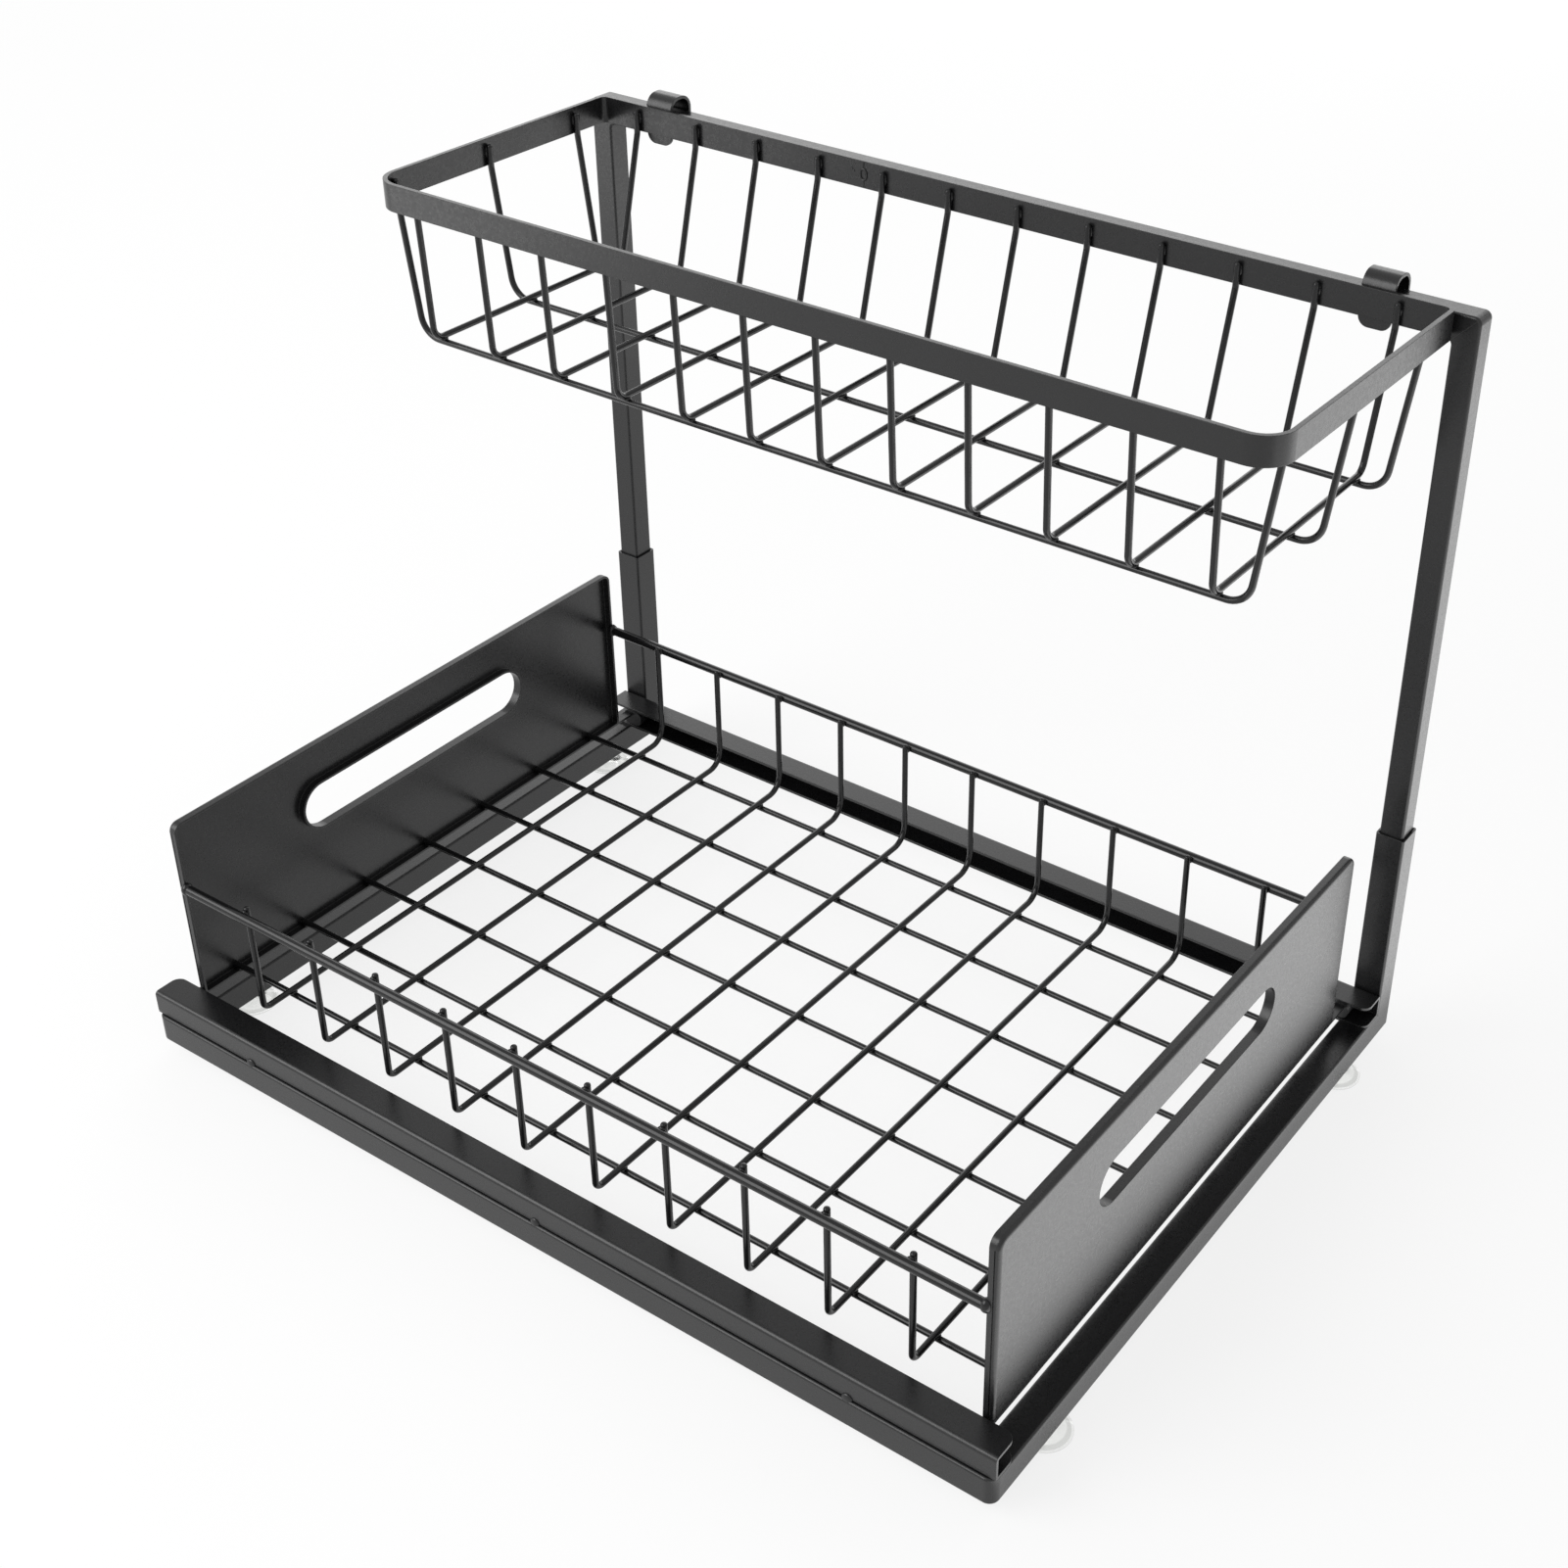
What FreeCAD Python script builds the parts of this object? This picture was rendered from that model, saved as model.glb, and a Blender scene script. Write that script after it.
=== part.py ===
import FreeCAD, Part
import math
import os
import Sketcher
from FreeCAD import Placement, Rotation, Vector
from types import SimpleNamespace

# Two-tier under-sink organizer: a tube base with two slide channels, a drawer that slides
# along its length, an upper frame that plugs into the base and a basket hung on its bar.
# Shop frame: X along the length from the left end, Y from the front to the back, Z up from
# the floor. Every sub-part is then placed with the middle of the floor outline as origin.

# Driving sizes in millimetres
DRIVING = {
    "frame_length": 400,        # outside of the two feet
    "frame_depth": 295.8,       # front of the beam to the back of the posts
    "frame_height": 313.2,      # underside of the feet to the top of the bar
    "base_tube": 12,            # square tube of the base
    "tube_wall": 0.8,
    "tube_round": 1,            # rounding of the tubes' long edges
    "base_corner": 4,           # rounding of the front corners in plan
    "sleeve_height": 98,        # underside of the feet to the top of the sleeves
    "upper_tube": 10,           # square tube that plugs into the sleeves
    "upper_corner": 2.8,        # outer rounding of the upper corners
    "upper_fillet": 2.2,        # inner fillet of the upper corners
    "seat_gap": 0.3,            # clearance of parts that lift or slide
    "channel_depth": 12,
    "channel_height": 10.4,
    "channel_sheet": 1.2,
    "channel_bend": 1.6,        # outside radius of the channel's bends
    "channel_end": 4,           # rounding of the flange ends
    "channel_setback": 1.1,     # front channel behind the front of the beam
    "drawer_inset": 10,         # outside of a panel inside the end of the frame
    "panel_height": 81.5,
    "panel_sheet": 1,
    "panel_rim": 4,             # width of the rim round a panel
    "panel_corner": 4,
    "panel_roll": 1.6,          # rounding of the panel's outer edges
    "panel_seam": 0.5,          # width and depth of the seam in the front and rear rims
    "panel_lift": 7,            # panel's underside above the feet
    "panel_setback": 1.1,       # panel's front behind the front channel
    "panel_rear_gap": 9.8,      # panel's rear in front of the rear channel
    "grip_length": 125,
    "grip_height": 20,
    "grip_drop": 29,            # top of a panel to the middle of its grip slot
    "front_tongue": 10,
    "rear_tongue": 18.6,
    "glide_length": 10,         # along the depth of the frame
    "glide_width": 10,          # along the slide
    "glide_overhang": 1.5,      # glide outside the panel's face
    "glide_round": 3,
    "fit_gap": 0.05,            # gap at a weld or a pushed-on piece
    "wire": 2.5,
    "rail": 4,
    "rail_rise": 52,            # panel's underside to the middle of a rail
    "tip_rise": 1.8,            # wire tips above the middle of a rail
    "front_bend": 3.2,          # bends of the drawer's cross wires, at the middle of the wire
    "rear_bend": 7.5,
    "long_wire_in": 18.5,       # front or rear of a panel to the nearest long wire
    "basket_inset": 9.3,        # end of the band inside the end of the frame
    "basket_depth": 130.8,
    "band_height": 10.7,
    "band_sheet": 1.8,
    "band_corner": 12,
    "band_rear_corner": 4,
    "band_rise": 2.6,           # band's top above the bar's top
    "basket_drop": 61.1,        # band's top down to the cross wires' flat run
    "basket_wire_in": 20.4,     # end of the band to the nearest cross wire
    "basket_front_in": 10.2,    # front of the band to the start of the flat run
    "basket_rear_in": 20.3,     # back of the band to the end of the flat run
    "basket_side_in": 17.8,     # side of the band to the flat run of the long wires
    "basket_bend": 5,
    "basket_end_bend": 9,       # bend at the ends of the basket's long wires
    "wire_below_rim": 3,        # wire tips below the band's top
    "hook_sheet": 1.2,
    "hook_width": 12.6,
    "hook_rise": 5.8,           # bar's top to the inside of the hook's arch
    "hook_bend": 4.4,           # inside radius of the arch's bends
    "hook_in": 29.7,            # end of the band to the middle of a hook
    "hook_leg": 14,             # rear leg below the bar's top
    "hook_tab": 4.5,            # tab below the band
    "hook_tab_round": 4,
    "cup_height": 6,
    "cup_radius": 10,
    "cup_lip": 0.6,
    "cup_neck": 2.4,
    "cup_shoulder": 3.4,
    "cup_head": 3.4,
    "cup_head_height": 2.4,
    "cup_front": 41.2,          # front cups behind the front of the beam
    "cup_rear": 34.3,           # rear cups in front of the back of the posts
}
DRAWER_CROSS_WIRES = 10
DRAWER_LONG_WIRES = 7
BASKET_CROSS_WIRES = 12
BASKET_LONG_WIRES = 3
HALF_DIAGONAL = math.sqrt(0.5)

doc = FreeCAD.newDocument("UnderSinkOrganizer")
sheet = doc.addObject("Spreadsheet::Sheet", "Sizes")
for row, (alias, number) in enumerate(DRIVING.items(), start=1):
    sheet.set("A%d" % row, alias)
    sheet.set("B%d" % row, str(number))
    sheet.setAlias("B%d" % row, alias)
doc.recompute()


class Size:
    """A length that knows its number and the sheet expression that gives it."""

    def __init__(self, value, text):
        self.value = value
        self.text = text

    def _join(self, sign, other, value):
        return Size(value, "(%s %s %s)" % (self.text, sign, other.text))

    def __add__(self, other):
        other = as_size(other)
        return self._join("+", other, self.value + other.value)

    def __sub__(self, other):
        other = as_size(other)
        return self._join("-", other, self.value - other.value)

    def __mul__(self, other):
        other = as_size(other)
        return self._join("*", other, self.value * other.value)

    def __truediv__(self, other):
        other = as_size(other)
        return self._join("/", other, self.value / other.value)


def as_size(number):
    return number if isinstance(number, Size) else Size(float(number), "%.9g" % number)


s = SimpleNamespace(**{alias: Size(float(number), "Sizes." + alias) for alias, number in DRIVING.items()})

# Levels and places that several sub-parts share
zero = as_size(0)
base_z = s.cup_height
foot_top = base_z + s.base_tube
sleeve_top = base_z + s.sleeve_height
bar_top = base_z + s.frame_height
beam_front = zero
post_rear = beam_front + s.frame_depth
post_front = post_rear - s.base_tube
inset = (s.base_tube - s.upper_tube) / 2
bar_front = post_front + inset
bar_rear = bar_front + s.upper_tube
channel_floor = foot_top + s.channel_sheet
channel_top = foot_top + s.channel_height
panel_front = s.channel_setback + s.channel_depth + s.panel_setback
panel_rear = post_front - s.channel_depth - s.panel_rear_gap
panel_bottom = foot_top + s.panel_lift
panel_top = panel_bottom + s.panel_height
tongue_front = panel_front - s.front_tongue
tongue_rear = panel_rear + s.rear_tongue
drawer_length = s.frame_length - s.drawer_inset * 2
rail_z = panel_bottom + s.rail_rise
long_wire_z = panel_bottom + s.panel_sheet + s.wire / 2 + s.fit_gap
cross_wire_z = long_wire_z + s.wire + s.fit_gap
hook_front = bar_front - s.seat_gap - s.hook_sheet
hook_bore = s.upper_tube / 2 + s.seat_gap
hook_rear = hook_front + s.hook_sheet * 2 + hook_bore * 2
band_rear = hook_front
band_front = band_rear - s.basket_depth
band_top = bar_top + s.band_rise
band_bottom = band_top - s.band_height
band_length = s.frame_length - s.basket_inset * 2
middle_x = s.frame_length / 2
middle_y = hook_rear / 2


def place(item, x=zero, y=zero, z=zero):
    """Moves a sub-part from the shop frame, where it starts at x, y, z, to the final frame."""
    for axis, shift in (("x", x - middle_x), ("y", y - middle_y), ("z", z)):
        item.setExpression("Placement.Base." + axis, shift.text)


def new_body(label):
    body = doc.addObject("PartDesign::Body", label)
    body.Label = label
    place(body)
    return body


def new_sketch(body, name, plane, level):
    """A sketch on a plane of the body's own origin, lifted to a level along X, Y or Z.

    Its first axis is X, or Y on the YZ plane; its second is Z, or Y on the XY plane."""
    support = next(f for f in body.Origin.OriginFeatures if f.Role == plane + "_Plane")
    sketch = body.newObject("Sketcher::SketchObject", name)
    sketch.AttachmentSupport = (support, "")
    sketch.MapMode = "FlatFace"
    lift = zero - level if plane == "XZ" else level
    sketch.AttachmentOffset = Placement(Vector(0, 0, lift.value), Rotation())
    sketch.setExpression("AttachmentOffset.Base.z", lift.text)
    return sketch


def bind(sketch, kind, *where, size):
    index = sketch.addConstraint(Sketcher.Constraint(kind, *where, size.value))
    sketch.setExpression("Constraints[%d]" % index, size.text)


def pin(sketch, edge, end, u, v):
    """Holds one end of an edge at u, v from the sketch's origin."""
    bind(sketch, "DistanceX", -1, 1, edge, end, size=u)
    bind(sketch, "DistanceY", -1, 1, edge, end, size=v)


def arc_between(start, end, radius, turn):
    """A circular arc under a half turn; turn is 1 for anticlockwise and -1 for clockwise."""
    chord = end - start
    left = Vector(-chord.y, chord.x, 0).normalize()
    height = math.sqrt(max(radius ** 2 - (chord.Length / 2) ** 2, 0))
    centre = start + chord / 2 + left * (turn * height)
    first, last = (start, end) if turn > 0 else (end, start)
    angles = [math.atan2(p.y - centre.y, p.x - centre.x) for p in (first, last)]
    if angles[1] < angles[0]:
        angles[1] += 2 * math.pi
    return Part.ArcOfCircle(Part.Circle(centre, Vector(0, 0, 1), radius), *angles)


def outline(sketch, corners):
    """A closed outline. A corner is (u, v), or (u, v, radius, turn) where an arc leaves it."""
    points = [Vector(c[0].value, c[1].value, 0) for c in corners]
    edges = []
    for i, corner in enumerate(corners):
        here, there = points[i], points[(i + 1) % len(points)]
        if len(corner) == 2:
            edges.append((sketch.addGeometry(Part.LineSegment(here, there)), 1, 2))
        else:
            edge = sketch.addGeometry(arc_between(here, there, corner[2].value, corner[3]))
            bind(sketch, "Radius", edge, size=corner[2])
            edges.append((edge, 1, 2) if corner[3] > 0 else (edge, 2, 1))
    for i, (edge, first, last) in enumerate(edges):
        after = edges[(i + 1) % len(edges)]
        sketch.addConstraint(Sketcher.Constraint("Coincident", edge, last, after[0], after[1]))
        pin(sketch, edge, first, corners[i][0], corners[i][1])
    return sketch


def rectangle(sketch, u0, v0, u1, v1):
    return outline(sketch, [(u0, v0), (u1, v0), (u1, v1), (u0, v1)])


def rounded_rectangle(sketch, u0, v0, u1, v1, low, high):
    """A rectangle with one radius at its low corners and another at its high ones."""
    return outline(sketch, [
        (u0 + low, v0), (u1 - low, v0, low, 1), (u1, v0 + low), (u1, v1 - high, high, 1),
        (u1 - high, v1), (u0 + high, v1, high, 1), (u0, v1 - high), (u0, v0 + low, low, 1)])


def circle(sketch, u, v, radius):
    edge = sketch.addGeometry(Part.Circle(Vector(u.value, v.value, 0), Vector(0, 0, 1), radius.value))
    pin(sketch, edge, 3, u, v)
    bind(sketch, "Radius", edge, size=radius)
    return sketch


def pad(body, sketch, length):
    """Adds material along the sketch's normal, which is +X, +Z or, on XZ, -Y."""
    feature = body.newObject("PartDesign::Pad", sketch.Name + "_pad")
    feature.Profile = sketch
    feature.Length = length.value
    feature.setExpression("Length", length.text)
    return feature


def pocket(body, sketch, length):
    """Removes material against the sketch's normal."""
    feature = body.newObject("PartDesign::Pocket", sketch.Name + "_pocket")
    feature.Profile = sketch
    feature.Length = length.value
    feature.setExpression("Length", length.text)
    return feature


def fillet(body, base, radius, axis, wanted=lambda middle: True):
    """Rounds the straight edges along an axis whose middle point is wanted, and arcs that go on from them."""
    doc.recompute()
    names = []
    for number, edge in enumerate(base.Shape.Edges, start=1):
        if edge.Curve.TypeId != "Part::GeomLine":
            continue
        along = (edge.lastVertex().Point - edge.firstVertex().Point).normalize()
        if abs(abs(along.dot(axis)) - 1) < 1e-6 and wanted(edge.CenterOfMass):
            names.append("Edge%d" % number)
    feature = body.newObject("PartDesign::Fillet", body.Label + "_fillet")
    feature.Base = (base, names)
    feature.Radius = radius.value
    feature.setExpression("Radius", radius.text)
    return feature


def near(a, b):
    return abs(a - b) < 1e-4


def side_x(side, distance):
    """A place at a distance from the left end, or from the right end on that side."""
    return distance if side < 0 else s.frame_length - distance


def rise(radius):
    """How far the middle of a rounded right corner lies inside the corner, along each side."""
    return radius * (1 - HALF_DIAGONAL)


def mirrored(side, corners):
    """Corners drawn for the left side, or their mirror image for the right side."""
    if side < 0:
        return corners
    return [(side_x(side, c[0]), c[1]) if len(c) == 2 else (side_x(side, c[0]), c[1], c[2], -c[3])
            for c in corners]


# Base: front beam, feet and post sleeves are square tubes joined at mitres

def corner_arc(offset):
    """Plan points of the rounded front left corner: on the front, on the mitre and on the side."""
    radius = s.base_corner - offset
    middle = offset + rise(radius)
    return radius, (s.base_corner, beam_front + offset), (middle, beam_front + middle), \
        (offset, beam_front + s.base_corner)


def beam_plan(offset):
    radius, on_front, on_mitre, _ = corner_arc(offset)
    inner = s.base_tube - offset
    return [on_mitre + (radius, 1), on_front,
            (side_x(1, on_front[0]), on_front[1], radius, 1), (side_x(1, on_mitre[0]), on_mitre[1]),
            (side_x(1, inner), beam_front + inner), (inner, beam_front + inner)]


def foot_plan(side, offset):
    radius, _, on_mitre, on_side = corner_arc(offset)
    inner = s.base_tube - offset
    return mirrored(side, [on_mitre, (inner, beam_front + inner), (inner, post_rear),
                           (offset, post_rear), on_side + (radius, 1)])


def hollow(body, plan, bottom, axis):
    """Pads a plan to the tube's height, rounds its edges along an axis and clears its inside."""
    whole = pad(body, outline(new_sketch(body, "outside", "XY", bottom), plan(zero)), s.base_tube)
    fillet(body, whole, s.tube_round, axis)
    inside = new_sketch(body, "inside", "XY", bottom + s.base_tube - s.tube_wall)
    pocket(body, outline(inside, plan(s.tube_wall)), s.base_tube - s.tube_wall * 2)


def front_beam():
    hollow(new_body("front_beam"), beam_plan, base_z, Vector(1, 0, 0))


def foot(side, label):
    """A foot tube with its mitre to the post and the holes that hold two cups."""
    body = new_body(label)
    hollow(body, lambda offset: foot_plan(side, offset), base_z, Vector(0, 1, 0))
    inner_face = s.base_tube if side < 0 else s.frame_length
    mitre = new_sketch(body, "rear_mitre", "YZ", inner_face)
    pocket(body, outline(mitre, [(post_front, foot_top), (post_rear, base_z), (post_rear, foot_top)]),
           s.base_tube)
    holes = new_sketch(body, "cup_holes", "XY", base_z + s.tube_wall)
    for y in cup_places():
        circle(holes, side_x(side, s.base_tube / 2), y, s.cup_neck + s.fit_gap)
    pocket(body, holes, s.tube_wall)


def sleeve(side, label):
    """A post tube, open at the top and mitred to its foot."""
    body = new_body(label)
    left = zero if side < 0 else s.frame_length - s.base_tube
    section = new_sketch(body, "section", "XY", base_z)
    for offset in (zero, s.tube_wall):
        rectangle(section, left + offset, post_front + offset,
                  left + s.base_tube - offset, post_rear - offset)
    tube = pad(body, section, s.sleeve_height)
    faces = (post_front.value, post_rear.value)
    fillet(body, tube, s.tube_round, Vector(0, 0, 1),
           lambda middle: any(near(middle.y, face) for face in faces))
    mitre = new_sketch(body, "foot_mitre", "YZ", left + s.base_tube)
    pocket(body, outline(mitre, [(post_front, base_z), (post_rear, base_z), (post_front, foot_top)]),
           s.base_tube)


def channel(label, web, inward):
    """A folded channel along the frame, web at one Y and flanges inward, with rounded flange ends."""
    def y(distance):
        return web + distance * inward

    body = new_body(label)
    bend, sheet_size = s.channel_bend, s.channel_sheet
    inner_bend = bend - sheet_size
    low, high = foot_top, channel_top
    turn = 1 if inward > 0 else -1
    profile = new_sketch(body, "profile", "YZ", zero)
    outline(profile, [
        (y(bend), low), (y(s.channel_depth), low), (y(s.channel_depth), low + sheet_size),
        (y(bend), low + sheet_size, inner_bend, -turn), (y(sheet_size), low + bend),
        (y(sheet_size), high - bend, inner_bend, -turn), (y(bend), high - sheet_size),
        (y(s.channel_depth), high - sheet_size), (y(s.channel_depth), high),
        (y(bend), high, bend, turn), (y(zero), high - bend), (y(zero), low + bend, bend, turn)])
    folded = pad(body, profile, s.frame_length)
    edge_y = y(s.channel_depth).value
    fillet(body, folded, s.channel_end, Vector(0, 0, 1), lambda middle: near(middle.y, edge_y))


# Suction cups under the feet

def cup_places():
    return beam_front + s.cup_front, post_rear - s.cup_rear


def suction_cup(side, y, label):
    """A moulded cup turned about its axis, with a neck and a head that snap into the foot."""
    body = new_body(label)
    profile = new_sketch(body, "profile", "XZ", y)
    x = side_x(side, s.base_tube / 2)
    profile.AttachmentOffset.Base.x = x.value
    profile.setExpression("AttachmentOffset.Base.x", x.text)
    seat = base_z - s.fit_gap
    groove_top = base_z + s.tube_wall + s.fit_gap
    hollow_radius = s.cup_radius - s.cup_lip * 2
    hollow_height = s.cup_height * 0.4
    dome = s.cup_radius * 2
    outline(profile, [
        (zero, hollow_height), (hollow_radius, zero), (s.cup_radius, zero),
        (s.cup_radius, s.cup_lip, dome, -1), (s.cup_shoulder, seat), (s.cup_neck, seat),
        (s.cup_neck, groove_top), (s.cup_head, groove_top),
        (s.cup_neck, groove_top + s.cup_head_height), (zero, groove_top + s.cup_head_height)])
    turned = body.newObject("PartDesign::Revolution", "turned")
    turned.Profile = profile
    turned.ReferenceAxis = (profile, ["V_Axis"])
    turned.Angle = 360


# Upper frame: two uprights and a bar, mitred, with rounded corners

def upper_corner(offset):
    """Front-view points of the upper left corner for an outline this far inside the tube."""
    outer = s.upper_corner - offset
    inner = s.upper_fillet + offset
    outer_x = inset + s.upper_corner
    outer_z = bar_top - s.upper_corner
    inner_x = inset + s.upper_tube + s.upper_fillet
    inner_z = bar_top - s.upper_tube - s.upper_fillet
    return SimpleNamespace(
        outer=outer, inner=inner, outer_x=outer_x, outer_z=outer_z, inner_x=inner_x, inner_z=inner_z,
        outer_middle=(outer_x - outer * HALF_DIAGONAL, outer_z + outer * HALF_DIAGONAL),
        inner_middle=(inner_x - inner * HALF_DIAGONAL, inner_z + inner * HALF_DIAGONAL))


def upright_outline(side, offset):
    c = upper_corner(offset)
    bottom = base_z + s.tube_wall + s.seat_gap
    return mirrored(side, [
        (inset + offset, bottom), (inset + s.upper_tube - offset, bottom),
        (inset + s.upper_tube - offset, c.inner_z, c.inner, -1), c.inner_middle,
        c.outer_middle + (c.outer, 1), (inset + offset, c.outer_z)])


def bar_outline(offset):
    c = upper_corner(offset)
    under = bar_top - s.upper_tube + offset
    over = bar_top - offset
    return [(c.inner_x, under), (side_x(1, c.inner_x), under, c.inner, -1),
            (side_x(1, c.inner_middle[0]), c.inner_middle[1]),
            (side_x(1, c.outer_middle[0]), c.outer_middle[1], c.outer, 1),
            (side_x(1, c.outer_x), over), (c.outer_x, over, c.outer, 1),
            c.outer_middle, c.inner_middle + (c.inner, -1)]


def upper_member(label, view, axis):
    """Pads a front view through the tube's depth, rounds its edges along an axis and clears its inside."""
    body = new_body(label)
    whole = pad(body, outline(new_sketch(body, "outside", "XZ", bar_rear), view(zero)), s.upper_tube)
    fillet(body, whole, s.tube_round, axis)
    inside = new_sketch(body, "inside", "XZ", bar_front + s.tube_wall)
    pocket(body, outline(inside, view(s.tube_wall)), s.upper_tube - s.tube_wall * 2)


# Drawer: two rimmed panels, rails, a wire floor and glides in the channels

def panel(side, label):
    """A sheet panel with a rim turned inward and a rimmed grip slot; the bottom rim's ends are tongues."""
    body = new_body(label)
    outside = side_x(side, s.drawer_inset)
    left = outside if side < 0 else outside - s.panel_rim
    cavity_end = left + s.panel_rim if side < 0 else left + s.panel_rim - s.panel_sheet
    sheet_size = s.panel_sheet
    low = s.panel_sheet * 2
    whole = pad(body, rounded_rectangle(new_sketch(body, "outside", "YZ", left), panel_front, panel_bottom,
                                        panel_rear, panel_top, low, s.panel_corner), s.panel_rim)
    fillet(body, whole, s.panel_roll, Vector(0, 1, 0), lambda middle: near(middle.x, outside.value))
    pocket(body, rounded_rectangle(new_sketch(body, "dish", "YZ", cavity_end),
                                   panel_front + sheet_size, panel_bottom + sheet_size,
                                   panel_rear - sheet_size, panel_top - sheet_size,
                                   low - sheet_size, s.panel_corner - sheet_size),
           s.panel_rim - sheet_size)
    tongues = new_sketch(body, "tongues", "YZ", left)
    pad(body, rectangle(tongues, tongue_front, panel_bottom, tongue_rear, panel_bottom + sheet_size),
        s.panel_rim)
    pad(body, stadium(new_sketch(body, "grip_rim", "YZ", left), sheet_size), s.panel_rim)
    pocket(body, stadium(new_sketch(body, "grip", "YZ", left + s.panel_rim), zero), s.panel_rim)
    seam = outside + s.panel_roll if side < 0 else outside - s.panel_roll - s.panel_seam
    for name, y in (("front_seam", panel_front), ("rear_seam", panel_rear - s.panel_seam)):
        pocket(body, rectangle(new_sketch(body, name, "XZ", y), seam, panel_bottom + low,
                               seam + s.panel_seam, panel_top - s.panel_corner), s.panel_seam)


def stadium(sketch, margin):
    """The grip slot's outline, or one this much larger all round."""
    middle_z = panel_top - s.grip_drop
    radius = s.grip_height / 2 + margin
    start = (panel_front + panel_rear) / 2 - s.grip_length / 2 + s.grip_height / 2
    end = start + s.grip_length - s.grip_height
    return outline(sketch, [
        (start, middle_z - radius), (end, middle_z - radius, radius, 1),
        (end + radius, middle_z, radius, 1), (end, middle_z + radius),
        (start, middle_z + radius, radius, 1), (start - radius, middle_z, radius, 1)])


def glide(side, end, label):
    """A moulded glide pushed on a tongue; end is -1 for the front channel and 1 for the rear one."""
    body = new_body(label)
    outside = side_x(side, s.drawer_inset)
    left = outside - s.glide_overhang if side < 0 else outside + s.glide_overhang - s.glide_width
    tip = tongue_front if end < 0 else tongue_rear
    wall = s.glide_overhang
    front = tip - wall if end < 0 else tip + wall - s.glide_length
    rear = front + s.glide_length
    block = pad(body, rectangle(new_sketch(body, "block", "YZ", left), front, channel_floor + s.seat_gap,
                                rear, channel_top - s.channel_sheet - s.seat_gap), s.glide_width)
    fillet(body, block, s.glide_round, Vector(0, 1, 0))
    slot_right = outside + s.panel_rim if side < 0 else outside
    gap = s.fit_gap
    slot = new_sketch(body, "slot", "YZ", slot_right + gap)
    bottom, top = panel_bottom - gap, panel_bottom + s.panel_sheet + gap
    if end < 0:
        rectangle(slot, tip - gap, bottom, rear, top)
    else:
        rectangle(slot, front, bottom, tip + gap, top)
    pocket(body, slot, s.panel_rim + gap * 2)


def straight_rod(label, diameter, x0, length, y, z):
    rod = doc.addObject("Part::Cylinder", label)
    rod.Label = label
    rod.setExpression("Radius", (diameter / 2).text)
    rod.setExpression("Height", length.text)
    rod.Placement.Rotation = Rotation(Vector(0, 1, 0), 90)
    place(rod, x0, y, z)


def drawer_rail(label, y):
    start = s.drawer_inset + s.panel_rim + s.fit_gap
    straight_rod(label, s.rail, start, s.frame_length - start * 2, y, rail_z)


def drawer_long_wire(index):
    start = s.drawer_inset + s.panel_sheet + s.fit_gap
    pitch = (panel_rear - panel_front - s.long_wire_in * 2) / (DRAWER_LONG_WIRES - 1)
    y = panel_front + s.long_wire_in + pitch * index
    straight_rod("drawer_long_wire_%d" % (index + 1), s.wire, start, s.frame_length - start * 2,
                 y, long_wire_z)


def bent_wire(label, plane, level, start, end, flat, tip_z, straight_z, flat_z, radius):
    """A wire bent to a U in one plane.

    It drops straight from start at tip_z to straight_z, leans in, runs flat at flat_z between
    the two places in flat and rises the same way to end. All bends have one radius."""
    body = new_body(label)
    path = new_sketch(body, "path", plane, level)
    r = radius.value
    upper = (Vector(start.value + r, straight_z.value, 0), Vector(end.value - r, straight_z.value, 0))
    lower = (Vector(flat[0].value, flat_z.value + r, 0), Vector(flat[1].value, flat_z.value + r, 0))
    down = (lower[0] - upper[0]).normalize()
    out = Vector(down.y, -down.x, 0) * r
    up = Vector(-out.x, out.y, 0)
    points = [Vector(start.value, tip_z.value, 0), Vector(start.value, straight_z.value, 0),
              upper[0] + out, lower[0] + out, Vector(flat[0].value, flat_z.value, 0),
              Vector(flat[1].value, flat_z.value, 0), lower[1] + up, upper[1] + up,
              Vector(end.value, straight_z.value, 0), Vector(end.value, tip_z.value, 0)]
    edges = []
    for i in range(len(points) - 1):
        if i % 2 == 0:
            edges.append(path.addGeometry(Part.LineSegment(points[i], points[i + 1])))
        else:
            edges.append(path.addGeometry(arc_between(points[i], points[i + 1], r, 1)))
    for before, after in zip(edges, edges[1:]):
        path.addConstraint(Sketcher.Constraint("Tangent", before, 2, after, 1))
    for bend in edges[1::2]:
        bind(path, "Radius", bend, size=radius)
    first, last, run = edges[0], edges[-1], edges[4]
    pin(path, first, 1, start, tip_z)
    pin(path, last, 2, end, tip_z)
    path.addConstraint(Sketcher.Constraint("Vertical", first))
    path.addConstraint(Sketcher.Constraint("Vertical", last))
    bind(path, "DistanceY", -1, 1, first, 2, size=straight_z)
    bind(path, "DistanceY", -1, 1, last, 1, size=straight_z)
    pin(path, run, 1, flat[0], flat_z)
    path.addConstraint(Sketcher.Constraint("Horizontal", run))
    bind(path, "DistanceX", -1, 1, run, 2, size=flat[1])
    section = new_sketch(body, "section", "XY", tip_z)
    centre = (level, start) if plane == "YZ" else (start, level)
    circle(section, centre[0], centre[1], s.wire / 2)
    swept = body.newObject("PartDesign::AdditivePipe", "swept")
    swept.Profile = section
    swept.Spine = path


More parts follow.
